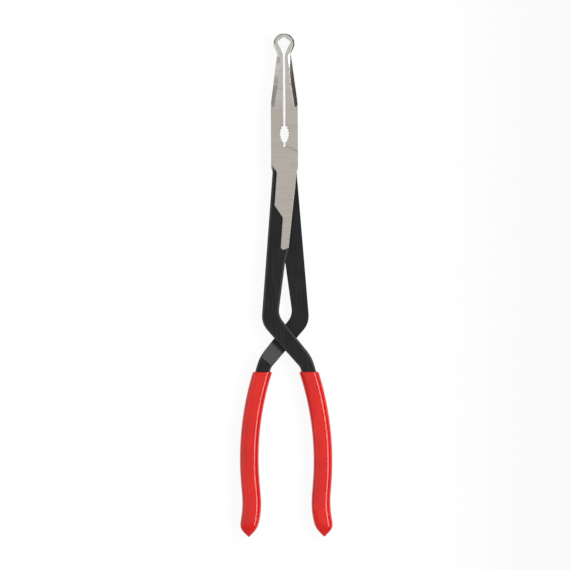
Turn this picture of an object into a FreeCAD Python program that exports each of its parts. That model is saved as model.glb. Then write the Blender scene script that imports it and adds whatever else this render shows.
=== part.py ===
import FreeCAD, Part
import math
import os

import Sketcher

# Ring-nose pliers with crossed handles.
#
# Two forged levers, the same forging used twice, turn on a rivet that is ground flush with
# the head. Each lever is full thickness at its jaw, half thickness through the lap joint and
# the arm, and steps back to the middle of the tool behind the place where the arms cross.
# A soft dipped grip covers each handle.
#
# Frame: +Y runs from the pivot towards the jaw tips, +Z is up through the thickness, and the
# origin is the pivot axis on the back face. The front lever has its jaw on the -X side and
# its handle on the +X side. The rear lever is the same shape turned half a turn about the
# middle of the thickness.

document = FreeCAD.newDocument("RingNosePliers")
sheet = document.addObject("Spreadsheet::Sheet", "Sizes")

# Lengths in millimetres, angles in degrees.
DRIVING_SIZES = (
    # overall
    ("jaw_reach", 85.9, "pivot axis to the jaw tips"),
    ("handle_reach", 244.3, "pivot axis to the ends of the grips, along the tool"),
    ("head_width", 17.6, "width of the parallel part of the head"),
    ("head_thickness", 12.0, "thickness of the head over both ground faces"),
    ("spare", 1.0, "how far a cutting outline runs past the metal that it cuts"),
    # the ring at the tips
    ("ring_radius", 6.85, "outside of the ring"),
    ("ring_top_round", 6.55, "rounding of the ring's outline at its top"),
    ("ring_low_round", 3.6, "rounding of the ring's outline above the neck"),
    ("ring_low_drop", 1.1, "ring centre down to the corner that this rounding takes off"),
    ("ring_hole_half", 4.16, "half the width of the ring's opening"),
    ("ring_hole_rise", 5.0, "ring centre up to the peak of its opening"),
    ("ring_hole_shoulder", 1.9, "ring centre up to the upper side corners of its opening"),
    ("ring_hole_flank", 0.6, "ring centre up to the lower side corners of its opening"),
    ("ring_throat_drop", 2.85, "ring centre down to where the opening becomes a throat"),
    ("ring_throat_half", 2.3, "half the width of that throat at its top"),
    ("ring_throat_length", 4.0, "length over which the throat closes to the smooth gap"),
    ("ring_throat_round", 0.6, "rounding at the top of the throat"),
    ("ring_throat_end_round", 6.0, "rounding where the throat runs into the smooth gap"),
    ("ring_hole_round", 0.3, "side corners of the ring's opening"),
    ("neck_round", 2.0, "rounding of the neck"),
    ("neck_drop", 6.2, "ring centre down to the narrowest place behind the ring"),
    ("neck_half", 4.42, "half the width of that neck"),
    ("tip_thickness", 8.0, "thickness at the jaw tips"),
    ("tip_gap", 0.1, "gap between the closed jaw tips"),
    # the jaws
    ("nose_start", 40.1, "pivot axis to the place where the jaws start to taper"),
    ("taper_start", 33.0, "pivot axis to the place where the thickness starts to taper"),
    ("flank_sink", 4.0, "middle of the thickness to the axis that the far flanks turn on"),
    ("flank_start", 34.4, "pivot axis to the first touch of the jaws' flanks"),
    ("flank_full", 38.5, "pivot axis to the full depth of the flanks"),
    ("flank_middle", 52.0, "pivot axis to the place where the flanks are widest"),
    ("flank_full_radius", 11.8, "radius of the flanks at their full depth"),
    ("flank_middle_radius", 10.25, "radius of the flanks where they are widest"),
    ("nose_start_radius", 40.0, "rounding where the jaws start to taper"),
    ("flank_neck_radius", 8.98, "radius of the flanks at the neck"),
    ("ring_round_side", 10.25, "radius to which the ring's edges are taken down at its side"),
    ("ring_round_top", 9.5, "the same between the side and the top"),
    ("ring_round_tip", 7.1, "the same just past the tips"),
    ("ring_round_rise", 3.8, "ring centre up to where the side's bevel meets the top's"),
    ("smooth_gap", 1.3, "gap between the jaws in front of the teeth"),
    ("smooth_length", 24.8, "jaw tips back to the first tooth"),
    ("tooth_gap", 1.15, "gap between the points of the teeth"),
    ("tooth_pitch", 1.35, "pitch of the teeth"),
    ("tooth_depth", 0.65, "depth of the teeth"),
    ("slot_gap", 1.2, "gap between the jaws behind the teeth"),
    # the pipe grip behind the teeth
    ("pipe_to_shoulder", 8.6, "lap shoulder up to the middle of the pipe grip"),
    ("pipe_to_teeth", 8.0, "middle of the pipe grip up to the first tooth"),
    ("pipe_radius", 9.3, "radius of each hollow of the pipe grip"),
    ("pipe_half", 2.75, "half the width of the pipe grip"),
    ("pipe_tooth_depth", 0.9, "depth of the pipe grip's teeth"),
    ("pipe_tooth_lead", 0.4, "how far each of those cuts starts inside the hollow"),
    ("pipe_tooth_angle", 12.0, "angle between two teeth of the pipe grip"),
    ("pipe_teeth", 6, "number of tooth cuts in each hollow of the pipe grip"),
    # the lap joint
    ("shoulder_radius", 11.8, "radius of the shoulder round the lap joint"),
    ("shoulder_gap", 0.14, "gap between the lap and the shoulder"),
    ("lap_gap", 0.1, "running gap between the two lap faces"),
    ("rivet_radius", 3.5, "shank of the rivet"),
    ("rivet_head_radius", 5.0, "countersunk head of the rivet"),
    ("rivet_head_depth", 1.8, "depth of that countersink"),
    ("running_clearance", 0.05, "radial clearance of the rivet in the lever that turns on it"),
    # the foot of the head and the ground pad behind it
    ("foot_side", 0.3, "pivot axis up to the foot of the head on its outer side"),
    ("foot_depth", 4.9, "pivot axis back to the outer end of the foot"),
    ("step_start", 1.8, "pivot axis back to the step on the inner side of the head"),
    ("step_end", 3.8, "pivot axis back to the end of that step"),
    ("pad_tail", 19.7, "step in the ground pad back to the pad's end"),
    ("pad_slope", 8.0, "length of that step"),
    ("pad_to_window", 10.1, "end of the ground pad back to the top of the window"),
    ("pad_end_half", 2.45, "middle of the tool to the ground pad's inner end corner"),
    ("pad_top_half", 8.15, "middle of the tool to the pad's edge just behind the head"),
    ("pad_root_half", 5.1, "middle of the tool to the pad's outer edge behind the head"),
    ("pad_wide_half", 6.76, "middle of the tool to the pad's outer edge above its step"),
    ("pad_narrow_half", 1.38, "middle of the tool to the pad's outer edge below its step"),
    ("pad_flare", 1.5, "how far that edge leans out towards the pad's end"),
    ("pad_slant", 1.6, "slant of the pad's end"),
    ("pad_corner", 2.0, "roundings along the ground pad's outer edge"),
    ("pad_end_corner", 0.8, "side corners of the ground pad's end"),
    ("pad_end_point", 1.0, "point of the ground pad's end"),
    ("pad_bevel", 0.3, "bevel round the ground pad"),
    # the arm, from the head to the crossing
    ("arm_face_drop", 1.3, "ground head face down to the black arm face"),
    ("arm_tuck", 2.0, "how far the arm and the jaw run in over the lap"),
    ("arm_start", 16.0, "pivot axis back to the place where the arm is as wide as the head"),
    ("arm_spread", 4.53, "angle of the arm's outer edge to the tool"),
    ("arm_inner_spread", 7.78, "angle of the arm's inner edge to the tool"),
    ("arm_inner_radius", 9.0, "roundings along the arm's inner edge"),
    ("window_length", 40.0, "window between the arms, down to the crossing's upper edge"),
    ("window_radius", 11.0, "inside of the arm's elbow"),
    ("elbow_radius", 14.0, "outside of the arm's elbow"),
    ("arm_bevel", 1.1, "bevel on the long edges of the arm and the tang"),
    # the crossing
    ("cross_depth", 17.3, "crossing arm from its upper to its lower edge, along the tool"),
    ("cross_to_mouth", 13.8, "lower edge of the crossing arm to the mouth of the grip"),
    ("cross_upper_angle", 38.7, "angle of the crossing arm's upper edge to the tool"),
    ("cross_lower_angle", 41.3, "angle of the crossing arm's lower edge to the tool"),
    ("bend_inner_radius", 6.0, "inside of the bend from the crossing into the handle"),
    ("bend_outer_radius", 25.0, "outside of that bend"),
    ("ramp_gap", 1.2, "gap along the arm between the other lever and the ramp"),
    ("ramp_length", 12.0, "length of the ramp from the half plane to the tang"),
    # the handle and its grip
    ("grip_length", 108.7, "mouth of the grip to its end, along the tool"),
    ("mouth_half", 15.2, "middle of the tool to the middle of the grip's mouth"),
    ("handle_splay", 16.6, "angle of the handle to the tool at the mouth"),
    ("bow_length", 40.2, "mouth of the grip to the bow's corner, along the handle"),
    ("bow_radius", 190.0, "radius of the bow"),
    ("waist_angle", 5.1, "angle at which the handle turns in behind the bow"),
    ("waist_length", 51.0, "bow's corner to the waist's corner, along the handle"),
    ("waist_radius", 60.0, "radius of the waist"),
    ("toe_angle", 11.5, "angle at which the grip turns out behind the waist"),
    ("toe_point_half", 24.8, "middle of the tool to the point of the grip"),
    ("toe_flank_angle", 45.5, "angle of the two flanks of the grip's point to the tool"),
    ("toe_outer_radius", 7.0, "outer corner of the toe"),
    ("toe_inner_radius", 14.0, "inner corner of the toe"),
    ("tang_stop", 18.0, "end of the tang back from the end of the grip"),
    ("tang_round", 2.0, "corners at the end of the tang"),
    ("grip_width", 12.4, "width of the grip"),
    ("grip_wall", 1.55, "wall of the grip beside the tang"),
    ("grip_flat", 3.2, "flat left on the grip's face between its rounded sides"),
)


class Size:
    """A number together with the sheet formula that gives it."""

    def __init__(self, number, formula):
        self.number = float(number)
        self.formula = formula

    def __add__(self, other):
        other = as_size(other)
        return Size(self.number + other.number, f"({self.formula} + {other.formula})")

    def __sub__(self, other):
        other = as_size(other)
        return Size(self.number - other.number, f"({self.formula} - {other.formula})")

    def __mul__(self, other):
        other = as_size(other)
        return Size(self.number * other.number, f"({self.formula} * {other.formula})")

    def __truediv__(self, other):
        other = as_size(other)
        return Size(self.number / other.number, f"({self.formula} / {other.formula})")

    def __neg__(self):
        return Size(-self.number, f"(0 - {self.formula})")


def as_size(value):
    """Returns a Size for a plain number, and a Size as it is."""
    if isinstance(value, Size):
        return value
    return Size(value, repr(float(value)))


def sine(angle):
    return Size(math.sin(math.radians(angle.number)), f"sin({angle.formula})")


def hypotenuse(one, other):
    return Size(math.hypot(one.number, other.number), f"hypot({one.formula}; {other.formula})")


def cosine(angle):
    return Size(math.cos(math.radians(angle.number)), f"cos({angle.formula})")


def tangent(angle):
    return Size(math.tan(math.radians(angle.number)), f"tan({angle.formula})")


size = {}
for row, (alias, number, meaning) in enumerate(DRIVING_SIZES, start=1):
    sheet.set(f"A{row}", meaning)
    sheet.set(f"B{row}", str(number))
    sheet.setAlias(f"B{row}", alias)
    size[alias] = Size(number, f"Sizes.{alias}")
document.recompute()

# Levels through the thickness.
full_face = size["head_thickness"]
middle = full_face / 2
lap_face = middle + size["lap_gap"] / 2
arm_face = full_face - size["arm_face_drop"]
arm_back = size["arm_face_drop"]

AXIS = 0.0
half_head = size["head_width"] / 2

# Places along the tool: in front of the pivot, and back from it.
ring_centre = size["jaw_reach"] - size["ring_radius"]
pipe_reach = size["shoulder_radius"] + size["pipe_to_shoulder"]
teeth_start = pipe_reach + size["pipe_to_teeth"]
teeth_end = size["jaw_reach"] - size["smooth_length"]
mouth_reach = size["handle_reach"] - size["grip_length"]
cross_lower = mouth_reach - size["cross_to_mouth"]
cross_upper = cross_lower - size["cross_depth"]
window_top = cross_upper - size["window_length"]
pad_end = window_top - size["pad_to_window"]
pad_step = pad_end - size["pad_tail"]
behind_head = -(size["step_end"] + size["foot_depth"]) / 2

tang_width = size["grip_width"] - size["grip_wall"] * 2
grip_round = (size["grip_width"] - size["grip_flat"]) / 2


def bind(thing, name, value):
    """Sets a property from a Size and keeps it bound to the sheet."""
    thing.setExpression(name, as_size(value).formula)


def new_body(label):
    body = document.addObject("PartDesign::Body", label)
    body.Label = label
    return body


def new_sketch(body, name, role="XY_Plane", level=None):
    """Makes a sketch on one of the body's own planes, lifted to a level."""
    plane = [item for item in body.Origin.OriginFeatures if item.Role == role][0]
    sketch = body.newObject("Sketcher::SketchObject", name)
    sketch.AttachmentSupport = [(plane, "")]
    sketch.MapMode = "FlatFace"
    if level is not None:
        bind(sketch, "AttachmentOffset.Base.z", level)
        sketch.AttachmentOffset = FreeCAD.Placement(
            FreeCAD.Vector(0, 0, as_size(level).number), FreeCAD.Rotation())
    return sketch


def dimension(sketch, kind, *items):
    """Adds a dimensional constraint whose value is bound to the sheet."""
    *geometry, value = items
    value = as_size(value)
    index = sketch.addConstraint(Sketcher.Constraint(kind, *geometry, value.number))
    sketch.setExpression(f"Constraints[{index}]", value.formula)


def place_point(sketch, item, end, x, y):
    """Dimensions one point from the sketch's origin."""
    dimension(sketch, "DistanceX", -1, 1, item, end, x)
    dimension(sketch, "DistanceY", -1, 1, item, end, y)


def round_corner(before, corner, after, radius):
    """Returns where a rounding starts and ends, its centre, and whether it turns left."""
    to_before = (before - corner).normalize()
    to_after = (after - corner).normalize()
    half_angle = to_before.getAngle(to_after) / 2
    reach = radius / math.tan(half_angle)
    bisector = (to_before + to_after).normalize()
    centre = corner + bisector * (radius / math.sin(half_angle))
    turns_left = to_before.cross(to_after).z < 0
    return corner + to_before * reach, corner + to_after * reach, centre, turns_left


def draw_outline(sketch, corners):
    """Draws a closed outline through corners (x, y, radius); radius 0 leaves one sharp."""
    corners = [tuple(as_size(value) for value in corner) for corner in corners]
    points = [FreeCAD.Vector(x.number, y.number, 0) for x, y, _ in corners]
    count = len(corners)
    starts, ends, arcs = list(points), list(points), {}
    for i, (_, _, radius) in enumerate(corners):
        if radius.number > 0:
            first, last, centre, left = round_corner(
                points[i - 1], points[i], points[(i + 1) % count], radius.number)
            ends[i], starts[i] = first, last
            arcs[i] = (centre, left)
    for i in range(count):
        sketch.addGeometry(Part.LineSegment(starts[i], ends[(i + 1) % count]))
    for i, (x, y, radius) in enumerate(corners):
        before, after = (i - 1) % count, i
        if i not in arcs:
            sketch.addConstraint(Sketcher.Constraint("Coincident", before, 2, after, 1))
            place_point(sketch, after, 1, x, y)
            continue
        centre, left = arcs[i]
        first, last = (ends[i], starts[i]) if left else (starts[i], ends[i])
        angles = [math.atan2(p.y - centre.y, p.x - centre.x) for p in (first, last)]
        circle = Part.Circle(centre, FreeCAD.Vector(0, 0, 1), radius.number)
        arc = sketch.addGeometry(Part.ArcOfCircle(circle, *angles))
        entry, leaving = (1, 2) if left else (2, 1)
        sketch.addConstraint(Sketcher.Constraint("Tangent", before, 2, arc, entry))
        sketch.addConstraint(Sketcher.Constraint("Tangent", arc, leaving, after, 1))
        dimension(sketch, "Radius", arc, radius)
        mark = sketch.addGeometry(Part.Point(points[i]), True)
        sketch.addConstraint(Sketcher.Constraint("PointOnObject", mark, 1, before))
        sketch.addConstraint(Sketcher.Constraint("PointOnObject", mark, 1, after))
        place_point(sketch, mark, 1, x, y)


def draw_circle(sketch, x, y, radius):
    centre = FreeCAD.Vector(as_size(x).number, as_size(y).number, 0)
    circle = Part.Circle(centre, FreeCAD.Vector(0, 0, 1), as_size(radius).number)
    item = sketch.addGeometry(circle)
    dimension(sketch, "Radius", item, radius)
    place_point(sketch, item, 3, x, y)


def pad(body, name, bottom, top, draw):
    """Adds material between two levels over the outline that draw makes."""
    sketch = new_sketch(body, name + "_outline", level=bottom)
    draw(sketch)
    feature = body.newObject("PartDesign::Pad", name)
    feature.Profile = sketch
    bind(feature, "Length", as_size(top) - bottom)
    document.recompute()
    return feature


def pocket(body, name, bottom, top, draw):
    """Cuts between two levels, downwards from the upper one."""
    before = body.Shape.Volume
    sketch = new_sketch(body, name + "_outline", level=top)
    draw(sketch)
    feature = body.newObject("PartDesign::Pocket", name)
    feature.Profile = sketch
    bind(feature, "Length", as_size(top) - bottom)
    document.recompute()
    must_be_smaller(body, before, name)
    return feature


def must_be_smaller(body, before, name):
    if body.Shape.Volume >= before:
        raise RuntimeError(f"{name} cuts nothing from {body.Label}")


def across(body, name, role, draw, turn=None, shift=None):
    """Cuts an outline on a standing plane through the whole body, to both sides."""
    before = body.Shape.Volume
    sketch = new_sketch(body, name + "_outline", role)
    if shift is not None:
        sketch.AttachmentOffset = FreeCAD.Placement(
            FreeCAD.Vector(0, 0, shift.number),
            FreeCAD.Rotation(FreeCAD.Vector(0, 1, 0), turn.number))
        bind(sketch, "AttachmentOffset.Base.z", shift)
        bind(sketch, "AttachmentOffset.Rotation.Angle", turn)
    draw(sketch)
    feature = body.newObject("PartDesign::Pocket", name)
    feature.Profile = sketch
    feature.Type = "ThroughAll"
    feature.Midplane = True
    document.recompute()
    must_be_smaller(body, before, name)
    return feature


# ---------------------------------------------------------------- the handle's line

def handle_edge(side, half_width):
    """Returns mouth, bow corner and waist corner of an edge beside the handle's middle.

    side is 1 for the outer edge and -1 for the inner one.
    """
    splay, waist, toe = size["handle_splay"], size["waist_angle"], size["toe_angle"]
    offset = as_size(half_width) * side
    mouth = (size["mouth_half"] + offset / cosine(splay), -mouth_reach)
    bow_x = size["mouth_half"] + size["bow_length"] * sine(splay)
    bow_y = -mouth_reach - size["bow_length"] * cosine(splay)
    bow_turn = (splay - waist) / 2
    bow_half = (splay + waist) / 2
    bow = (bow_x + offset * cosine(bow_turn) / cosine(bow_half),
           bow_y + offset * sine(bow_turn) / cosine(bow_half))
    waist_x = bow_x - size["waist_length"] * sine(waist)
    waist_y = bow_y - size["waist_length"] * cosine(waist)
    waist_turn = (toe - waist) / 2
    waist_half = (toe + waist) / 2
    narrow = (waist_x + offset * cosine(waist_turn) / cosine(waist_half),
              waist_y + offset * sine(waist_turn) / cosine(waist_half))
    return mouth, bow, narrow


def crossing_edge(reach, angle, y):
    """Returns x where an edge of the crossing arm stands at y."""
    return (-reach - y) * tangent(angle)


def crossing_meets_handle(reach, angle, side, half_width):
    """Returns the corner where an edge of the crossing arm runs into the handle."""
    (mouth_x, mouth_y), _, _ = handle_edge(side, half_width)
    slope = tangent(size["handle_splay"])
    cross = tangent(angle)
    y = (mouth_x + mouth_y * slope + reach * cross) / (slope - cross)
    return crossing_edge(reach, angle, y), y


# ---------------------------------------------------------------- one lever

def draw_arm(sketch):
    """The arm, the crossing and the tang in plan, from under the head to the tang's end."""
    half_tang = tang_width / 2
    outer_tan = tangent(size["arm_spread"])
    inner_tan = tangent(size["arm_inner_spread"])
    lower_tan = tangent(size["cross_lower_angle"])
    upper_tan = tangent(size["cross_upper_angle"])
    elbow_y = -((cross_lower * lower_tan - half_head + size["arm_start"] * outer_tan)
                / (lower_tan + outer_tan))
    elbow_x = -half_head + (elbow_y + size["arm_start"]) * outer_tan
    window_y = -((cross_upper * upper_tan + window_top * inner_tan)
                 / (upper_tan + inner_tan))
    window_x = (window_y + window_top) * inner_tan
    inner_bend = crossing_meets_handle(cross_lower, size["cross_lower_angle"],
                                       -1, half_tang)
    outer_bend = crossing_meets_handle(cross_upper, size["cross_upper_angle"],
                                       1, half_tang)
    _, inner_bow, _ = handle_edge(-1, half_tang)
    _, outer_bow, _ = handle_edge(1, half_tang)
    end_y = -size["handle_reach"] + size["tang_stop"]
    waist_tan = tangent(size["waist_angle"])
    inner_end = inner_bow[0] + (end_y - inner_bow[1]) * waist_tan
    outer_end = outer_bow[0] + (end_y - outer_bow[1]) * waist_tan
    draw_outline(sketch, (
        (-half_head + (size["arm_tuck"] + size["arm_start"]) * outer_tan,
         size["arm_tuck"], 0),
        (elbow_x, elbow_y, size["elbow_radius"]),
        (*inner_bend, size["bend_inner_radius"]),
        (*inner_bow, size["bow_radius"] - half_tang),
        (inner_end, end_y, size["tang_round"]),
        (outer_end, end_y, size["tang_round"]),
        (*outer_bow, size["bow_radius"] + half_tang),
        (*outer_bend, size["bend_outer_radius"]),
        (window_x, window_y, size["window_radius"]),
        (-size["tip_gap"], -window_top, size["arm_inner_radius"]),
        (size["pad_end_half"], -pad_end, size["arm_inner_radius"]),
        (size["pad_top_half"], -size["step_end"], 0),
        (size["pad_top_half"], size["arm_tuck"], 0)))


def draw_ground_face(sketch):
    """The ground face behind the pivot: the foot of the head and the raised pad."""
    tail_half = size["pad_narrow_half"] + size["pad_flare"]
    draw_outline(sketch, (
        (-half_head, size["arm_tuck"], 0),
        (-half_head, size["foot_side"], 0),
        (-size["pad_root_half"], -size["foot_depth"], size["pad_corner"]),
        (-size["pad_wide_half"], -pad_step + size["pad_slope"], size["pad_corner"]),
        (-size["pad_narrow_half"], -pad_step, size["pad_corner"]),
        (-tail_half, -pad_end, size["pad_end_corner"]),
        (-tail_half + size["pad_slant"], -pad_end - size["pad_slant"], size["pad_end_point"]),
        (size["pad_end_half"], -pad_end, size["pad_end_corner"]),
        (size["pad_top_half"], -size["step_end"], 0),
        (half_head, -size["step_start"], 0),
        (half_head, size["arm_tuck"], 0)))


def draw_lap(sketch):
    """The lap in front of the pivot: as wide as the head, with a round front edge."""
    radius = size["shoulder_radius"] - size["shoulder_gap"] / 2
    wide, round_front, base = half_head.number, radius.number, size["spare"].number
    corner = math.sqrt(round_front ** 2 - wide ** 2)
    low_left, low_right = FreeCAD.Vector(-wide, base, 0), FreeCAD.Vector(wide, base, 0)
    top_left, top_right = FreeCAD.Vector(-wide, corner, 0), FreeCAD.Vector(wide, corner, 0)
    sketch.addGeometry(Part.LineSegment(low_left, low_right))
    sketch.addGeometry(Part.LineSegment(low_right, top_right))
    circle = Part.Circle(FreeCAD.Vector(0, 0, 0), FreeCAD.Vector(0, 0, 1), round_front)
    first, last = math.atan2(corner, wide), math.atan2(corner, -wide)
    sketch.addGeometry(Part.ArcOfCircle(circle, first, last))
    sketch.addGeometry(Part.LineSegment(top_left, low_left))
    for one, two in ((0, 1), (1, 2), (2, 3), (3, 0)):
        sketch.addConstraint(Sketcher.Constraint("Coincident", one, 2, two, 1))
    sketch.addConstraint(Sketcher.Constraint("Coincident", 2, 3, -1, 1))
    sketch.addConstraint(Sketcher.Constraint("Vertical", 1))
    sketch.addConstraint(Sketcher.Constraint("Vertical", 3))
    dimension(sketch, "Radius", 2, radius)
    place_point(sketch, 0, 1, -half_head, size["spare"])
    place_point(sketch, 0, 2, half_head, size["spare"])


def draw_jaw(sketch):
    """The jaw in plan, with its half of the ring and of the gap."""
    tip = -size["tip_gap"] / 2
    ring = size["ring_radius"]
    hole_half = size["ring_hole_half"]
    throat_top = ring_centre - size["ring_throat_drop"]
    draw_outline(sketch, (
        (tip, size["jaw_reach"], 0),
        (-ring, size["jaw_reach"], size["ring_top_round"]),
        (-ring, ring_centre - size["ring_low_drop"], size["ring_low_round"]),
        (-size["neck_half"], ring_centre - size["neck_drop"], size["neck_round"]),
        (-half_head, size["nose_start"], size["nose_start_radius"]),
        (-half_head, size["arm_tuck"], 0),
        (-size["slot_gap"] / 2, size["arm_tuck"], 0),
        (-size["slot_gap"] / 2, teeth_start, 0),
        (-size["tooth_gap"] / 2, teeth_start, 0),
        (-size["tooth_gap"] / 2, teeth_end, 0),
        (-size["smooth_gap"] / 2, teeth_end, 0),
        (-size["smooth_gap"] / 2, throat_top - size["ring_throat_length"],
         size["ring_throat_end_round"]),
        (-size["ring_throat_half"], throat_top, size["ring_throat_round"]),
        (-hole_half, ring_centre + size["ring_hole_flank"], size["ring_hole_round"]),
        (-hole_half, ring_centre + size["ring_hole_shoulder"], size["ring_hole_round"]),
        (tip, ring_centre + size["ring_hole_rise"], 0)))


def draw_thickness_taper(sketch, sign):
    """The wedge taken off one face of the nose; sign 1 is the front face."""
    reach = size["jaw_reach"] + size["spare"]
    face = middle + middle * sign
    tip_face = middle + size["tip_thickness"] / 2 * sign
    outside = face + size["spare"] * sign
    draw_outline(sketch, (
        (size["taper_start"], face, 0),
        (reach, tip_face, 0),
        (reach, outside, 0),
        (size["taper_start"], outside, 0)))


def draw_flank(sketch):
    """What is turned off one face of the nose and the ring: the outside of a slim cone."""
    neck = ring_centre - size["neck_drop"]
    outside = size["head_width"]
    past_tips = size["jaw_reach"] + size["spare"]
    run_out = hypotenuse(half_head, middle + size["flank_sink"]) + size["spare"] / 4
    draw_outline(sketch, (
        (run_out, size["flank_start"], 0),
        (outside, size["flank_start"], 0),
        (outside, past_tips, 0),
        (size["ring_round_tip"], past_tips, 0),
        (size["ring_round_top"], ring_centre + size["ring_round_rise"], 0),
        (size["ring_round_side"], ring_centre, 0),
        (size["flank_neck_radius"], neck - size["spare"] * 2, 0),
        (size["flank_middle_radius"], size["flank_middle"], 0),
        (size["flank_full_radius"], size["flank_full"], 0)))


def draw_rivet(sketch):
    """Half the rivet's section, from the axis outwards."""
    shank, head = size["rivet_radius"], size["rivet_head_radius"]
    depth = size["rivet_head_depth"]
    draw_outline(sketch, (
        (AXIS, 0.0, 0),
        (AXIS, full_face, 0),
        (head, full_face, 0),
        (shank, full_face - depth, 0),
        (shank, depth, 0),
        (head, 0.0, 0)))


def draw_bore(sketch, clearance):
    """Half the section of the bore and of its countersink, a clearance larger than the rivet."""
    shank, head = size["rivet_radius"] + clearance, size["rivet_head_radius"] + clearance
    draw_outline(sketch, (
        (AXIS, middle, 0),
        (AXIS, full_face + size["spare"], 0),
        (head, full_face + size["spare"], 0),
        (head, full_face, 0),
        (shank, full_face - size["rivet_head_depth"], 0),
        (shank, middle, 0)))


def taper_nose(body):
    """Thins the nose towards the tips, from both faces, and turns its outer flanks."""
    across(body, "FrontTaper", "YZ_Plane", lambda sketch: draw_thickness_taper(sketch, 1))
    across(body, "BackTaper", "YZ_Plane", lambda sketch: draw_thickness_taper(sketch, -1))
    for name, axis_level in (("FrontFlank", middle - size["flank_sink"]),
                             ("BackFlank", middle + size["flank_sink"])):
        before = body.Shape.Volume
        sketch = new_sketch(body, name + "_outline", level=axis_level)
        draw_flank(sketch)
        feature = body.newObject("PartDesign::Groove", name)
        feature.Profile = sketch
        feature.ReferenceAxis = (sketch, ["V_Axis"])
        feature.Angle = 360
        document.recompute()
        must_be_smaller(body, before, name)


def cut_teeth(body):
    """One V groove between two teeth, repeated along the jaw."""
    first = teeth_start + size["tooth_pitch"] / 2
    face = -size["tooth_gap"] / 2
    half_pitch = size["tooth_pitch"] / 2
    run = teeth_end - first - half_pitch

    def draw_groove(sketch):
        draw_outline(sketch, (
            (face - size["tooth_depth"], first, 0),
            (face, first - half_pitch, 0),
            (face + size["tooth_depth"], first, 0),
            (face, first + half_pitch, 0)))

    groove = pocket(body, "ToothGroove", -size["spare"], full_face + size["spare"], draw_groove)
    pattern = body.newObject("PartDesign::LinearPattern", "Teeth")
    pattern.Originals = [groove]
    pattern.Direction = (groove.Profile[0], ["V_Axis"])
    bind(pattern, "Occurrences", Size(1 + math.floor(run.number / size["tooth_pitch"].number),
                                      f"1 + floor({run.formula} / Sizes.tooth_pitch)"))
    bind(pattern, "Length", Size(0, f"floor({run.formula} / Sizes.tooth_pitch) * Sizes.tooth_pitch"))
    body.Tip = pattern
    document.recompute()


def cut_pipe_grip(body):
    """The hollow behind the teeth, with its own coarser teeth set round its curve."""
    centre_x = size["pipe_radius"] - size["pipe_half"]

    def draw_hollow(sketch):
        draw_circle(sketch, centre_x, pipe_reach, size["pipe_radius"])

    pocket(body, "PipeHollow", -size["spare"], full_face + size["spare"], draw_hollow)
    before = body.Shape.Volume
    sketch = new_sketch(body, "PipeTooth_outline", level=full_face + size["spare"])
    bind(sketch, "AttachmentOffset.Base.x", centre_x)
    bind(sketch, "AttachmentOffset.Base.y", pipe_reach)
    reach = size["pipe_radius"]
    half_pitch = reach * sine(size["pipe_tooth_angle"] / 2)
    spread = size["pipe_tooth_angle"] * (size["pipe_teeth"] - 1) / 2
    along, beside = cosine(spread), sine(spread)
    deep = reach + size["pipe_tooth_depth"]
    inside = reach - size["pipe_tooth_lead"]
    draw_outline(sketch, (
        (-(deep * along), deep * beside, 0),
        (-(inside * along) + half_pitch * beside, inside * beside + half_pitch * along, 0),
        (-(inside * along) - half_pitch * beside, inside * beside - half_pitch * along, 0)))
    groove = body.newObject("PartDesign::Pocket", "PipeTooth")
    groove.Profile = sketch
    groove.Type = "ThroughAll"
    document.recompute()
    must_be_smaller(body, before, "PipeTooth")
    pattern = body.newObject("PartDesign::PolarPattern", "PipeTeeth")
    pattern.Originals = [groove]
    pattern.Axis = (sketch, ["N_Axis"])
    bind(pattern, "Angle", spread * 2)
    bind(pattern, "Occurrences", size["pipe_teeth"])
    body.Tip = pattern
    document.recompute()


def bore_for_rivet(body, clearance):
    """The bore and countersink that the rivet fills."""
    before = body.Shape.Volume
    sketch = new_sketch(body, "Bore_outline", "XZ_Plane")
    draw_bore(sketch, clearance)
    feature = body.newObject("PartDesign::Groove", "Bore")
    feature.Profile = sketch
    feature.ReferenceAxis = (sketch, ["V_Axis"])
    feature.Angle = 360
    document.recompute()
    must_be_smaller(body, before, "Bore")


def long_edges(shape, level, past):
    """Names the edges of a flat-lying prism that lie at a level, behind a place."""
    names = []
    for index, edge in enumerate(shape.Edges, start=1):
        box = edge.BoundBox
        if abs(box.ZMin - level) < 1e-4 and abs(box.ZMax - level) < 1e-4 and box.YMin < past:
            names.append(f"Edge{index}")
    return names


def bevel_arm(body, feature):
    """Bevels the arm and the tang along their long edges, front and back."""
    names = long_edges(feature.Shape, arm_face.number, behind_head.number)
    names += long_edges(feature.Shape, arm_back.number, behind_head.number)
    bevel = body.newObject("PartDesign::Chamfer", "ArmBevel")
    bevel.Base = (feature, names)
    bind(bevel, "Size", size["arm_bevel"])
    document.recompute()


def bevel_ground_pad(body, feature):
    """Bevels the ground pad all round, behind the head."""
    names = long_edges(feature.Shape, full_face.number, behind_head.number)
    bevel = body.newObject("PartDesign::Chamfer", "PadBevel")
    bevel.Base = (feature, names)
    bind(bevel, "Size", size["pad_bevel"])
    document.recompute()


def clear_under_arm(body):
    """Takes the back half away under the arm, up to the ramp behind the crossing."""
    turn = (size["cross_upper_angle"] + size["cross_lower_angle"]) / 2
    cross_y = (cross_upper + cross_lower) / 2
    half_band = (cross_lower - cross_upper) / 2 * sine(turn)
    crossing = turn * 2
    start = half_band / sine(crossing) + half_band / tangent(crossing) + size["ramp_gap"]
    far = size["handle_reach"]

    def draw_ramp(sketch):
        draw_outline(sketch, (
            (-far, -size["spare"], 0),
            (start + size["ramp_length"], -size["spare"], 0),
            (start + size["ramp_length"], arm_back, 0),
            (start, lap_face, 0),
            (-far, lap_face, 0)))

    across(body, "UnderArm", "XZ_Plane", draw_ramp, turn=turn - 90, shift=cross_y)


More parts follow.
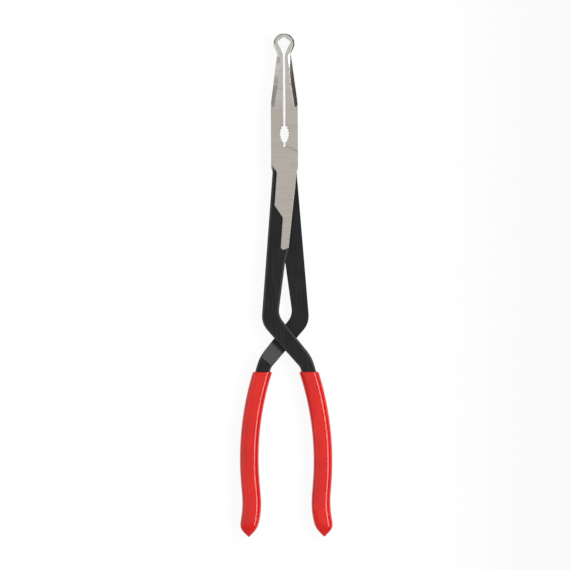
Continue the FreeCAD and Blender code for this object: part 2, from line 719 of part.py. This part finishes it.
def make_lever(label, clearance):
    """One lever, lying as the front one does."""
    body = new_body(label)
    arm = pad(body, "Arm", arm_back, arm_face, draw_arm)
    bevel_arm(body, arm)
    clear_under_arm(body)
    ground = pad(body, "GroundFace", lap_face, full_face, draw_ground_face)
    bevel_ground_pad(body, ground)
    pad(body, "Lap", lap_face, full_face, draw_lap)
    pad(body, "Jaw", 0.0, full_face, draw_jaw)
    recess = size["shoulder_radius"] + size["shoulder_gap"] / 2
    pocket(body, "LapRecess", -size["spare"], lap_face,
           lambda sketch: draw_circle(sketch, 0.0, 0.0, recess))
    taper_nose(body)
    cut_pipe_grip(body)
    cut_teeth(body)
    bore_for_rivet(body, clearance)
    return body


# ---------------------------------------------------------------- the grip

def draw_grip(sketch):
    """The grip in plan, from its mouth to its blunt point."""
    half = size["grip_width"] / 2
    outer_mouth, outer_bow, outer_waist = handle_edge(1, half)
    inner_mouth, inner_bow, inner_waist = handle_edge(-1, half)
    toe, flank = tangent(size["toe_angle"]), tangent(size["toe_flank_angle"])
    point_x, point_y = size["toe_point_half"], -size["handle_reach"]
    outer_toe_y = ((outer_waist[0] + outer_waist[1] * toe - point_x + point_y * flank)
                   / (toe + flank))
    outer_toe_x = point_x + (outer_toe_y - point_y) * flank
    inner_toe_y = ((point_x + point_y * flank - inner_waist[0] - inner_waist[1] * toe)
                   / (flank - toe))
    inner_toe_x = point_x - (inner_toe_y - point_y) * flank
    draw_outline(sketch, (
        (*inner_mouth, 0),
        (*inner_bow, size["bow_radius"] - half),
        (*inner_waist, size["waist_radius"]),
        (inner_toe_x, inner_toe_y, size["toe_inner_radius"]),
        (point_x, point_y, 0),
        (outer_toe_x, outer_toe_y, size["toe_outer_radius"]),
        (*outer_waist, size["waist_radius"]),
        (*outer_bow, size["bow_radius"] + half),
        (*outer_mouth, 0)))


def make_grip(label, lever, placement):
    """A dipped grip: its outer form with the lever's tang taken out of it."""
    body = new_body(label + "_form")
    form = pad(body, "Form", 0.0, full_face, draw_grip)
    mouth = -(mouth_reach + size["spare"]).number
    names = long_edges(form.Shape, 0.0, mouth)
    names += long_edges(form.Shape, full_face.number, mouth)
    rounding = body.newObject("PartDesign::Fillet", "SideRound")
    rounding.Base = (form, names)
    bind(rounding, "Radius", grip_round)
    document.recompute()
    body.Placement = placement
    grip = document.addObject("Part::Cut", label)
    grip.Label = label
    grip.Base = body
    grip.Tool = lever
    document.recompute()
    return grip


# ---------------------------------------------------------------- the rivet

def make_rivet(label):
    """The rivet: a shank with a countersunk head in each ground face."""
    body = new_body(label)
    sketch = new_sketch(body, "Section", "XZ_Plane")
    draw_rivet(sketch)
    feature = body.newObject("PartDesign::Revolution", "Turned")
    feature.Profile = sketch
    feature.ReferenceAxis = (sketch, ["V_Axis"])
    feature.Angle = 360
    document.recompute()
    return body


turned_over = FreeCAD.Placement(
    FreeCAD.Vector(0, 0, size["head_thickness"].number),
    FreeCAD.Rotation(FreeCAD.Vector(0, 1, 0), 180))
as_drawn = FreeCAD.Placement()

front_lever = make_lever("front_lever", size["running_clearance"])
rear_lever = make_lever("rear_lever", 0)
rear_lever.Placement = turned_over
rivet = make_rivet("pivot_rivet")
right_grip = make_grip("right_grip", front_lever, as_drawn)
left_grip = make_grip("left_grip", rear_lever, turned_over)
document.recompute()

parts = (front_lever, rear_lever, rivet, right_grip, left_grip)
for item in document.Objects:
    if "Invalid" in item.State or "Error" in item.State:
        raise RuntimeError(f"{item.Label} failed: {item.State}")
for part in parts:
    if part.Shape.isNull() or not part.Shape.isValid():
        raise RuntimeError(f"{part.Label} has no valid shape")

os.makedirs("parts", exist_ok=True)
for part in parts:
    print(part.Label, len(part.Shape.Solids), round(part.Shape.Volume, 1))
    part.Shape.exportStep(f"parts/{part.Label}.step")
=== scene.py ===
import math

import bmesh
import bpy
from mathutils import Matrix, Vector


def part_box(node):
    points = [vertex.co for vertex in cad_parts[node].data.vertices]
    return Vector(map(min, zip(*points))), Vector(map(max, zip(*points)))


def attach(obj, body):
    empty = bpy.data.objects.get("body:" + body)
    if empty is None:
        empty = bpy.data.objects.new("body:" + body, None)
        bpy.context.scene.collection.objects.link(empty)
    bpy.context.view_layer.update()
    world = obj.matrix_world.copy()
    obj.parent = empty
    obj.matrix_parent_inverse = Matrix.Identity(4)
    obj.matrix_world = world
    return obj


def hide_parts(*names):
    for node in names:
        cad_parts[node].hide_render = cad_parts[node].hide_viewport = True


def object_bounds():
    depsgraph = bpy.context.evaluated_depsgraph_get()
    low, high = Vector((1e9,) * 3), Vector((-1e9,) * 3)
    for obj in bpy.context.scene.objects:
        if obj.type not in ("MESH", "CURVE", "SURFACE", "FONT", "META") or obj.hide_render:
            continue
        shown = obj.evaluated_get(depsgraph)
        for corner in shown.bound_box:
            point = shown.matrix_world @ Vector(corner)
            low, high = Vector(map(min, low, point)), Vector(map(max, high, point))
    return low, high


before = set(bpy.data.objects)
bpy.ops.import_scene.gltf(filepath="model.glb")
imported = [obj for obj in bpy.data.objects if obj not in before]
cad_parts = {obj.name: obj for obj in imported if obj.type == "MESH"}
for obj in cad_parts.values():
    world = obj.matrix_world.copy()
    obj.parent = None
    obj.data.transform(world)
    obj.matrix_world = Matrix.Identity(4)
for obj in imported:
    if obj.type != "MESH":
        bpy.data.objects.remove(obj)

cad_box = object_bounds()
MM = 0.001

# ---------------------------------------------------------------- studio
# A white sweep under a broad overhead box. A long strip box lies beside the tool on one side,
# with a small one at its far corner, and a wide, dim fill stands on the other side.

world = bpy.data.worlds.new("studio_sweep")
bpy.context.scene.world = world
world.use_nodes = True
tree = world.node_tree
tree.nodes.clear()
output = tree.nodes.new("ShaderNodeOutputWorld")
seen = tree.nodes.new("ShaderNodeBackground")
seen.inputs["Color"].default_value = (1.0, 1.0, 1.0, 1.0)
seen.inputs["Strength"].default_value = 1.0
room = tree.nodes.new("ShaderNodeBackground")
room.inputs["Strength"].default_value = 1.0
where = tree.nodes.new("ShaderNodeTexCoord")
split = tree.nodes.new("ShaderNodeSeparateXYZ")
across_room = tree.nodes.new("ShaderNodeMapRange")
across_room.inputs["From Min"].default_value = 0.45
across_room.inputs["From Max"].default_value = 0.72
shade = tree.nodes.new("ShaderNodeValToRGB")
shade.color_ramp.elements[0].color = (0.50, 0.50, 0.50, 1.0)
shade.color_ramp.elements[1].color = (0.10, 0.09, 0.08, 1.0)
path = tree.nodes.new("ShaderNodeLightPath")
choose = tree.nodes.new("ShaderNodeMixShader")
tree.links.new(where.outputs["Generated"], split.inputs["Vector"])
tree.links.new(split.outputs["X"], across_room.inputs["Value"])
tree.links.new(across_room.outputs["Result"], shade.inputs["Fac"])
tree.links.new(shade.outputs["Color"], room.inputs["Color"])
tree.links.new(path.outputs["Is Camera Ray"], choose.inputs["Fac"])
tree.links.new(room.outputs["Background"], choose.inputs[1])
tree.links.new(seen.outputs["Background"], choose.inputs[2])
tree.links.new(choose.outputs["Shader"], output.inputs["Surface"])

tool_middle = (cad_box[0] + cad_box[1]) / 2


def softbox(name, place, along, across, radiance):
    """A soft lamp of an even brightness, turned to the tool; along runs with the tool."""
    lamp = bpy.data.lights.new(name, "AREA")
    lamp.shape = "RECTANGLE"
    lamp.size = along
    lamp.size_y = across
    lamp.energy = radiance * math.pi * along * across
    holder = bpy.data.objects.new(name, lamp)
    bpy.context.scene.collection.objects.link(holder)
    holder.location = place
    aim = Vector((tool_middle.x, place[1], tool_middle.z)) - Vector(place)
    holder.rotation_euler = aim.to_track_quat("-Z", "Y").to_euler()
    return holder


softbox("overhead_box", (-0.15, tool_middle.y, 2.4), 1.5, 1.9, 0.47)
softbox("strip_box", (0.86, tool_middle.y, 1.02), 1.5, 0.40, 8.5)
softbox("corner_box", (0.62, tool_middle.y + 0.85, 1.0), 0.45, 0.45, 5.0)
softbox("left_fill", (-1.5, tool_middle.y, 0.9), 0.9, 1.8, 0.8)

# The floor keeps the tool's shadow, and shows white to the camera, to metal and to glass.
floor_clearance = 0.1 * MM
white_share = 0.92
floor_mesh = bpy.data.meshes.new("floor")
floor_shape = bmesh.new()
bmesh.ops.create_grid(floor_shape, x_segments=1, y_segments=1, size=4.0)
floor_shape.to_mesh(floor_mesh)
floor_shape.free()
floor = bpy.data.objects.new("floor", floor_mesh)
bpy.context.scene.collection.objects.link(floor)
floor.location = (tool_middle.x, tool_middle.y, cad_box[0].z - floor_clearance)
paper = bpy.data.materials.new("white_sweep")
paper.use_nodes = True
tree = paper.node_tree
tree.nodes.clear()
output = tree.nodes.new("ShaderNodeOutputMaterial")
matte = tree.nodes.new("ShaderNodeBsdfDiffuse")
matte.inputs["Color"].default_value = (0.92, 0.92, 0.92, 1.0)
glow = tree.nodes.new("ShaderNodeEmission")
glow.inputs["Strength"].default_value = 1.0
path = tree.nodes.new("ShaderNodeLightPath")
mirrored = tree.nodes.new("ShaderNodeMath")
mirrored.operation = "MAXIMUM"
polished = tree.nodes.new("ShaderNodeMath")
polished.operation = "MAXIMUM"
share = tree.nodes.new("ShaderNodeMath")
share.operation = "MULTIPLY"
share.inputs[1].default_value = white_share
choose = tree.nodes.new("ShaderNodeMixShader")
tree.links.new(path.outputs["Is Camera Ray"], mirrored.inputs[0])
tree.links.new(path.outputs["Is Transmission Ray"], mirrored.inputs[1])
tree.links.new(mirrored.outputs["Value"], polished.inputs[0])
tree.links.new(path.outputs["Is Glossy Ray"], polished.inputs[1])
tree.links.new(polished.outputs["Value"], share.inputs[0])
tree.links.new(share.outputs["Value"], choose.inputs["Fac"])
tree.links.new(matte.outputs["BSDF"], choose.inputs[1])
tree.links.new(glow.outputs["Emission"], choose.inputs[2])
tree.links.new(choose.outputs["Shader"], output.inputs["Surface"])
floor.data.materials.append(paper)

# A low dark card stands beside the tool, hidden from the camera, and puts the dark band on
# the steel's flanks.
card_height, card_length, card_distance = 0.15, 1.3, 0.225
card_mesh = bpy.data.meshes.new("dark_card")
card_shape = bmesh.new()
bmesh.ops.create_grid(card_shape, x_segments=1, y_segments=1, size=0.5)
bmesh.ops.scale(card_shape, vec=(card_height, card_length, 1.0), verts=card_shape.verts)
bmesh.ops.rotate(card_shape, verts=card_shape.verts,
                 matrix=Matrix.Rotation(math.radians(90), 3, "Y"))
bmesh.ops.translate(card_shape, verts=card_shape.verts,
                    vec=(card_distance, tool_middle.y, card_height / 2))
card_shape.to_mesh(card_mesh)
card_shape.free()
card = bpy.data.objects.new("dark_card", card_mesh)
bpy.context.scene.collection.objects.link(card)
card_stock = bpy.data.materials.new("card_stock")
card_stock.use_nodes = True
tree = card_stock.node_tree
tree.nodes.clear()
output = tree.nodes.new("ShaderNodeOutputMaterial")
matte = tree.nodes.new("ShaderNodeBsdfDiffuse")
matte.inputs["Color"].default_value = (0.20, 0.18, 0.165, 1.0)
tree.links.new(matte.outputs["BSDF"], output.inputs["Surface"])
card_mesh.materials.append(card_stock)
card.visible_camera = False

# The camera hangs straight over the tool, far off, with a long lens.
view_distance = 1.9
frame_width = 374.0 * MM
tip = math.radians(0.6)
roll = math.radians(-0.3)
aim_at = Vector((-0.15 * MM, -78.7 * MM, tool_middle.z))
camera_data = bpy.data.cameras.new("camera")
camera_data.sensor_width = 36.0
camera_data.lens = camera_data.sensor_width * view_distance / frame_width
camera_data.clip_end = 20.0
camera = bpy.data.objects.new("camera", camera_data)
bpy.context.scene.collection.objects.link(camera)
camera.location = aim_at + Vector((0.0, math.sin(tip), math.cos(tip))) * view_distance
camera.rotation_euler = (Matrix.Rotation(-tip, 3, "X") @ Matrix.Rotation(roll, 3, "Z")).to_euler()
bpy.context.scene.camera = camera
bpy.context.scene.view_settings.view_transform = "Standard"

# ---------------------------------------------------------------- levers
# Two drop-forged steel levers. The whole forging is coated satin black, then the head, the
# jaws and the pad behind the pivot are ground bare, which leaves fine lines across them.

front_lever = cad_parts["front_lever"]
rear_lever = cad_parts["rear_lever"]
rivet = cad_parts["pivot_rivet"]
face_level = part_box("front_lever")[1].z


def shader_group(name, inputs, outputs):
    """Starts a shader group; inputs and outputs are (name, socket type, default) rows."""
    group = bpy.data.node_groups.new(name, "ShaderNodeTree")
    for label, kind, default in inputs:
        socket = group.interface.new_socket(label, in_out="INPUT", socket_type=kind)
        if default is not None:
            socket.default_value = default
    for label, kind in outputs:
        group.interface.new_socket(label, in_out="OUTPUT", socket_type=kind)
    entry = group.nodes.new("NodeGroupInput")
    leaving = group.nodes.new("NodeGroupOutput")
    return group, entry, leaving


def noise(tree, vector, scale, detail=3.0, roughness=0.5):
    """A noise texture on a vector socket."""
    node = tree.nodes.new("ShaderNodeTexNoise")
    node.inputs["Scale"].default_value = scale
    node.inputs["Detail"].default_value = detail
    node.inputs["Roughness"].default_value = roughness
    tree.links.new(vector, node.inputs["Vector"])
    return node.outputs["Fac"]


def stretch(tree, vector, scale, location=(0.0, 0.0, 0.0)):
    """Scales and shifts a vector socket."""
    node = tree.nodes.new("ShaderNodeMapping")
    node.inputs["Scale"].default_value = scale
    node.inputs["Location"].default_value = location
    tree.links.new(vector, node.inputs["Vector"])
    return node.outputs["Vector"]


def remap(tree, value, low, high, to_low, to_high):
    """Maps one range of a value onto another and clamps it."""
    node = tree.nodes.new("ShaderNodeMapRange")
    for label, number in (("From Min", low), ("From Max", high), ("To Min", to_low), ("To Max", to_high)):
        node.inputs[label].default_value = number
    tree.links.new(value, node.inputs["Value"])
    return node.outputs["Result"]


def math_node(tree, operation, first, second=0.0):
    """One arithmetic step on sockets or numbers."""
    node = tree.nodes.new("ShaderNodeMath")
    node.operation = operation
    for place, value in enumerate((first, second)):
        if isinstance(value, (int, float)):
            node.inputs[place].default_value = value
        else:
            tree.links.new(value, node.inputs[place])
    return node.outputs["Value"]


def mix_colour(tree, factor, first, second, blend="MIX"):
    """Mixes two colours, given as sockets or as plain values."""
    node = tree.nodes.new("ShaderNodeMix")
    node.data_type = "RGBA"
    node.blend_type = blend
    if isinstance(factor, (int, float)):
        node.inputs["Factor"].default_value = factor
    else:
        tree.links.new(factor, node.inputs["Factor"])
    for label, value in (("A", first), ("B", second)):
        socket = [item for item in node.inputs if item.name == label and item.type == "RGBA"][0]
        if isinstance(value, tuple):
            socket.default_value = value
        else:
            tree.links.new(value, socket)
    return [item for item in node.outputs if item.type == "RGBA"][0]


# Ground zones: bare from the tips to the foot of the head, and on the pad's raised face.
# The arm's black face, a step lower, runs a little way under the head on the lever's own side.
head_foot = -6.2 * MM
pad_floor = face_level - 0.34 * MM
pad_limit = -80.0 * MM
arm_ceiling = face_level - 1.2 * MM
arm_tuck_end = 0.2 * MM
half_floor = face_level / 2 + 0.2 * MM
bare_group, entry, leaving = shader_group(
    "ground_zones",
    (("Place", "NodeSocketVector", None), ("Foot", "NodeSocketFloat", head_foot),
     ("Level", "NodeSocketFloat", pad_floor)),
    (("Bare", "NodeSocketFloat"),))
split = bare_group.nodes.new("ShaderNodeSeparateXYZ")
bare_group.links.new(entry.outputs["Place"], split.inputs["Vector"])
past_foot = math_node(bare_group, "GREATER_THAN", split.outputs["Y"], entry.outputs["Foot"])
on_face = math_node(bare_group, "GREATER_THAN", split.outputs["Z"], entry.outputs["Level"])
near_head = math_node(bare_group, "GREATER_THAN", split.outputs["Y"], pad_limit)
raised = math_node(bare_group, "MULTIPLY", on_face, near_head)
arm_side = math_node(bare_group, "LESS_THAN", split.outputs["Z"], arm_ceiling)
behind_foot = math_node(bare_group, "LESS_THAN", split.outputs["Y"], arm_tuck_end)
arm_top = math_node(bare_group, "MULTIPLY", arm_side, behind_foot)
in_half = math_node(bare_group, "GREATER_THAN", split.outputs["Z"], half_floor)
arm_top = math_node(bare_group, "MULTIPLY", arm_top, in_half)
past_foot = math_node(bare_group, "SUBTRACT", past_foot, arm_top)
bare = math_node(bare_group, "MAXIMUM", past_foot, raised)
bare_group.links.new(bare, leaving.inputs["Bare"])

# Grinding lines: fine, straight scratches across the tool with slow tonal drift.
grain_group, entry, leaving = shader_group(
    "grinding_lines",
    (("Place", "NodeSocketVector", None),),
    (("Lines", "NodeSocketFloat"), ("Drift", "NodeSocketFloat")))
lines = grain_group.nodes.new("ShaderNodeTexNoise")
lines.inputs["Scale"].default_value = 1.0
lines.inputs["Detail"].default_value = 4.0
grain_group.links.new(stretch(grain_group, entry.outputs["Place"], (45.0, 2600.0, 900.0)),
                      lines.inputs["Vector"])
drift = noise(grain_group, entry.outputs["Place"], 55.0, 2.0)
grain_group.links.new(lines.outputs["Fac"], leaving.inputs["Lines"])
grain_group.links.new(drift, leaving.inputs["Drift"])


def use_group(tree, group, place, **values):
    """Places a shader group on an object-space position."""
    node = tree.nodes.new("ShaderNodeGroup")
    node.node_tree = group
    tree.links.new(place, node.inputs["Place"])
    for label, value in values.items():
        node.inputs[label].default_value = value
    return node.outputs


def start_material(name):
    """A material with only its output and Principled shader, and its object-space position."""
    material = bpy.data.materials.new(name)
    material.use_nodes = True
    tree = material.node_tree
    tree.nodes.clear()
    output = tree.nodes.new("ShaderNodeOutputMaterial")
    shader = tree.nodes.new("ShaderNodeBsdfPrincipled")
    tree.links.new(shader.outputs["BSDF"], output.inputs["Surface"])
    place = tree.nodes.new("ShaderNodeTexCoord").outputs["Object"]
    return material, tree, shader, place


BARE_STEEL = (0.50, 0.460, 0.415, 1.0)
BARE_STEEL_DARK = (0.40, 0.365, 0.33, 1.0)
TIP_STEEL = (0.60, 0.58, 0.545, 1.0)
TIP_STEEL_DARK = (0.48, 0.465, 0.435, 1.0)
BLACK_COAT = (0.0035, 0.004, 0.005, 1.0)
BLACK_COAT_WORN = (0.03, 0.03, 0.032, 1.0)
# Lighter grey for the black coat's edges and tilted faces: painted light, with some edge wear.
BEVEL_SHEEN_AND_WEAR = (0.085, 0.083, 0.082, 1.0)
STEEL_TARNISH = (0.37, 0.36, 0.30, 1.0)
# Darker steel for the bare edges: painted shade.
STEEL_EDGE_SHADE = (0.25, 0.24, 0.225, 1.0)
# Near-black painted shade for the walls of the tooth notches.
TOOTH_NOTCH_SHADE = (0.03, 0.027, 0.024, 1.0)
tip_tone_start, tip_tone_full = 30.0 * MM, 76.0 * MM
teeth_start, teeth_end, teeth_half = 12.0 * MM, 62.0 * MM, 4.2 * MM
edge_reach, edge_rounding = 0.45 * MM, 0.22 * MM


def lever_material(name, turned_over):
    """Ground steel and black coat on one forging; the rear lever is read turned over."""
    material, tree, shader, place = start_material(name)
    if turned_over:
        own = stretch(tree, place, (-1.0, 1.0, -1.0), (0.0, 0.0, face_level))
    else:
        own = place
    bare = use_group(tree, bare_group, own)["Bare"]
    grain = use_group(tree, grain_group, own)
    geometry = tree.nodes.new("ShaderNodeNewGeometry")
    edge_round = tree.nodes.new("ShaderNodeBevel")
    edge_round.samples = 8
    edge_round.inputs["Radius"].default_value = edge_reach
    turn = tree.nodes.new("ShaderNodeVectorMath")
    turn.operation = "DOT_PRODUCT"
    tree.links.new(edge_round.outputs["Normal"], turn.inputs[0])
    tree.links.new(geometry.outputs["Normal"], turn.inputs[1])
    edge = remap(tree, turn.outputs["Value"], 0.995, 0.90, 0.0, 1.0)
    along = tree.nodes.new("ShaderNodeSeparateXYZ")
    tree.links.new(own, along.inputs["Vector"])
    facing = tree.nodes.new("ShaderNodeSeparateXYZ")
    tree.links.new(tree.nodes.new("ShaderNodeTexCoord").outputs["Normal"], facing.inputs["Vector"])
    lying = math_node(tree, "ABSOLUTE", facing.outputs["Z"])
    lines = remap(tree, grain["Lines"], 0.3, 0.7, 0.0, 1.0)
    tip_tone = remap(tree, along.outputs["Y"], tip_tone_start, tip_tone_full, 0.0, 1.0)
    steel = mix_colour(tree, tip_tone,
                       mix_colour(tree, lines, BARE_STEEL_DARK, BARE_STEEL),
                       mix_colour(tree, lines, TIP_STEEL_DARK, TIP_STEEL))
    steel = mix_colour(tree, remap(tree, grain["Drift"], 0.40, 0.70, 0.0, 0.30), steel,
                       STEEL_TARNISH)
    # Painted shade: the bare steel is darkened along its edges, where the rounded edges turn away from
    # the light.
    steel = mix_colour(tree, math_node(tree, "MULTIPLY", edge, 0.45), steel, STEEL_EDGE_SHADE)
    # Painted shade: the steep walls of the tooth notches beside the jaws' middle are darkened nearly to
    # black, standing in for the shadow inside the notches.
    steep = math_node(tree, "LESS_THAN", lying, 0.4)
    off_middle = math_node(tree, "ABSOLUTE", along.outputs["X"])
    beside = math_node(tree, "LESS_THAN", off_middle, teeth_half)
    toothed = math_node(tree, "MULTIPLY",
                        math_node(tree, "GREATER_THAN", along.outputs["Y"], teeth_start),
                        math_node(tree, "LESS_THAN", along.outputs["Y"], teeth_end))
    notch_shade = math_node(tree, "MULTIPLY", math_node(tree, "MULTIPLY", steep, beside), toothed)
    steel = mix_colour(tree, math_node(tree, "MULTIPLY", notch_shade, 0.9), steel, TOOTH_NOTCH_SHADE)
    streaks = noise(tree, stretch(tree, own, (900.0, 60.0, 900.0)), 1.0, 3.0)
    coat = mix_colour(tree, remap(tree, streaks, 0.4, 0.75, 0.0, 0.30), BLACK_COAT, BLACK_COAT_WORN)
    # Painted light with some wear: the coat is lightened on faces tilted off flat, such as the ramps and
    # draft sides, and along its edges. This stands in for the light these catch, together with paint
    # rubbed off the edges.
    tilt_sheen = math_node(tree, "MULTIPLY", remap(tree, lying, 0.985, 0.94, 0.0, 1.0),
                        remap(tree, lying, 0.05, 0.30, 0.0, 1.0))
    sheen_and_rub = math_node(tree, "MAXIMUM", math_node(tree, "MULTIPLY", tilt_sheen, 0.4),
                       math_node(tree, "MULTIPLY", edge, 0.65))
    coat = mix_colour(tree, sheen_and_rub, coat, BEVEL_SHEEN_AND_WEAR)
    tree.links.new(mix_colour(tree, bare, coat, steel), shader.inputs["Base Color"])
    tree.links.new(bare, shader.inputs["Metallic"])
    flank = math_node(tree, "MULTIPLY", math_node(tree, "LESS_THAN", lying, 0.985),
                      math_node(tree, "GREATER_THAN", along.outputs["Y"], tip_tone_start))
    ground = remap(tree, flank, 0.0, 1.0, 1.0, 0.45)
    steel_rough = remap(tree, grain["Lines"], 0.3, 0.7, 0.30, 0.42)
    steel_rough = math_node(tree, "MULTIPLY", steel_rough, ground)
    coat_rough = remap(tree, streaks, 0.3, 0.7, 0.36, 0.50)
    rough = tree.nodes.new("ShaderNodeMix")
    tree.links.new(bare, rough.inputs["Factor"])
    tree.links.new(coat_rough, rough.inputs["A"])
    tree.links.new(steel_rough, rough.inputs["B"])
    tree.links.new(rough.outputs["Result"], shader.inputs["Roughness"])
    shader.inputs["Specular IOR Level"].default_value = 0.22
    height = tree.nodes.new("ShaderNodeMix")
    tree.links.new(bare, height.inputs["Factor"])
    tree.links.new(noise(tree, own, 2400.0, 2.0), height.inputs["A"])
    tree.links.new(grain["Lines"], height.inputs["B"])
    rounding = tree.nodes.new("ShaderNodeBevel")
    rounding.samples = 6
    rounding.inputs["Radius"].default_value = edge_rounding
    bump = tree.nodes.new("ShaderNodeBump")
    bump.inputs["Strength"].default_value = 0.12
    bump.inputs["Distance"].default_value = 0.02 * MM
    tree.links.new(height.outputs["Result"], bump.inputs["Height"])
    tree.links.new(rounding.outputs["Normal"], bump.inputs["Normal"])
    tree.links.new(bump.outputs["Normal"], shader.inputs["Normal"])
    return material


def paint(node, material):
    """Puts one material on a whole CAD node."""
    node.data.materials.clear()
    node.data.materials.append(material)


paint(front_lever, lever_material("front_lever_finish", False))
paint(rear_lever, lever_material("rear_lever_finish", True))

# ---------------------------------------------------------------- rivet
# A steel rivet, headed over in both countersinks and ground flush with the head, so that
# the grinding lines run on across it.

material, tree, shader, place = start_material("rivet_finish")
grain = use_group(tree, grain_group, place)
steel = mix_colour(tree, remap(tree, grain["Lines"], 0.3, 0.7, 0.0, 1.0), BARE_STEEL_DARK, BARE_STEEL)
tree.links.new(steel, shader.inputs["Base Color"])
shader.inputs["Metallic"].default_value = 1.0
tree.links.new(remap(tree, grain["Lines"], 0.3, 0.7, 0.30, 0.42), shader.inputs["Roughness"])
bump = tree.nodes.new("ShaderNodeBump")
bump.inputs["Strength"].default_value = 0.12
bump.inputs["Distance"].default_value = 0.02 * MM
tree.links.new(grain["Lines"], bump.inputs["Height"])
tree.links.new(bump.outputs["Normal"], shader.inputs["Normal"])
paint(rivet, material)

# ---------------------------------------------------------------- grips
# Soft red vinyl, built up by dipping the hot tangs in plastisol: a smooth, glossy skin that
# rounds every edge, a thin lip at the mouth, and a blunt point where the last drop hung.

def outline_at(node, stations):
    """The middle and half the width of a CAD node in plan, at stations along the tool."""
    rows = []
    whole = bmesh.new()
    whole.from_mesh(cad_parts[node].data)
    bmesh.ops.remove_doubles(whole, verts=whole.verts, dist=0.001 * MM)
    for station in stations:
        cut = whole.copy()
        made = bmesh.ops.bisect_plane(
            cut, geom=cut.verts[:] + cut.edges[:] + cut.faces[:], dist=0.0001 * MM,
            plane_co=(0.0, station, 0.0), plane_no=(0.0, 1.0, 0.0))["geom_cut"]
        edge_x = [item.co.x for item in made if isinstance(item, bmesh.types.BMVert)]
        rows.append(((min(edge_x) + max(edge_x)) / 2, (max(edge_x) - min(edge_x)) / 2))
        cut.free()
    whole.free()
    return rows


def dipped_grip(node):
    """A hollow dipped skin on a CAD grip's outline: bore, mouth lip, side and blunt point."""
    low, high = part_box(node)
    mouth, end, level = high.y, low.y, (low.z + high.z) / 2
    deep = (high.z - low.z) / 2
    wall, floor_wall, lip, toe = 1.5 * MM, 1.3 * MM, 0.7 * MM, 11.0 * MM
    bore_depth, bore_step, skin_step = 88.0 * MM, 8.0 * MM, 3.0 * MM
    bore_stations = [mouth - bore_depth + bore_step * step for step in range(11)]
    bore_stations.append(mouth - 0.2 * MM)
    skin_stations = [mouth - 0.02 * MM, mouth - 0.25 * MM, mouth - lip]
    skin_stations += [mouth - skin_step * step for step in range(1, 33)]
    skin_stations += [end + toe * share for share in (0.75, 0.6, 0.46, 0.34, 0.23, 0.14, 0.07, 0.025)]
    rings = []
    for station, (middle_x, half) in zip(bore_stations, outline_at(node, bore_stations)):
        rings.append((station, middle_x, half - wall, deep - floor_wall, 6.0))
    rings.append((mouth, middle_x, half - wall, deep - floor_wall, 5.0))
    for station, (middle_x, half) in zip(skin_stations, outline_at(node, skin_stations)):
        behind = max(0.0, min(1.0, (mouth - station) / lip))
        inset = 0.55 * MM * (1.0 - math.sqrt(1.0 - (1.0 - behind) ** 2))
        near = max(0.0, min(1.0, (station - end) / toe))
        tall = (deep - inset) * math.sqrt(near * (2.0 - near))
        rings.append((station, middle_x, half - inset, tall, 2.9))
    shape = bmesh.new()
    count = 40
    ring = bmesh.ops.create_circle(shape, segments=count, radius=1.0)["verts"]
    angles = [math.atan2(vertex.co.y, vertex.co.x) for vertex in ring]
    edges = list(shape.edges)
    for index, (station, middle_x, half, tall, power) in enumerate(rings):
        if index:
            made = bmesh.ops.extrude_edge_only(shape, edges=edges)["geom"]
            edges = [item for item in made if isinstance(item, bmesh.types.BMEdge)]
            grown = {vertex for edge in edges for vertex in edge.verts}
            ring = [[edge.other_vert(vertex) for edge in vertex.link_edges
                     if edge.other_vert(vertex) in grown][0] for vertex in ring]
        for vertex, angle in zip(ring, angles):
            reach = (abs(math.cos(angle)) ** power + abs(math.sin(angle)) ** power) ** (-1 / power)
            vertex.co = (middle_x + math.cos(angle) * reach * half, station,
                         level + math.sin(angle) * reach * tall)
        if index == 0:
            bmesh.ops.contextual_create(shape, geom=list(edges))
    bmesh.ops.contextual_create(shape, geom=list(edges))
    bmesh.ops.recalc_face_normals(shape, faces=shape.faces)
    return shape


material, tree, shader, place = start_material("dipped_red")
soft = noise(tree, place, 60.0, 2.0)
skin = mix_colour(tree, remap(tree, soft, 0.35, 0.65, 0.0, 1.0),
                  (0.55, 0.006, 0.003, 1.0), (0.63, 0.009, 0.004, 1.0))
tree.links.new(skin, shader.inputs["Base Color"])
gloss = remap(tree, noise(tree, place, 900.0, 3.0), 0.3, 0.7, 0.09, 0.15)
tree.links.new(gloss, shader.inputs["Roughness"])
shader.inputs["Specular IOR Level"].default_value = 0.38
bump = tree.nodes.new("ShaderNodeBump")
bump.inputs["Strength"].default_value = 0.03
bump.inputs["Distance"].default_value = 0.05 * MM
tree.links.new(noise(tree, place, 420.0, 2.0), bump.inputs["Height"])
tree.links.new(bump.outputs["Normal"], shader.inputs["Normal"])

for name, body in (("right_grip", "front_half"), ("left_grip", "rear_half")):
    shape = dipped_grip(name)
    mesh = bpy.data.meshes.new(name + "_skin")
    shape.to_mesh(mesh)
    shape.free()
    for face in mesh.polygons:
        face.use_smooth = True
    grip = bpy.data.objects.new(name + "_skin", mesh)
    bpy.context.scene.collection.objects.link(grip)
    finish = grip.modifiers.new("rounded", "SUBSURF")
    finish.levels = 2
    finish.render_levels = 2
    mesh.materials.append(material)
    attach(grip, body)
    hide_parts(name)
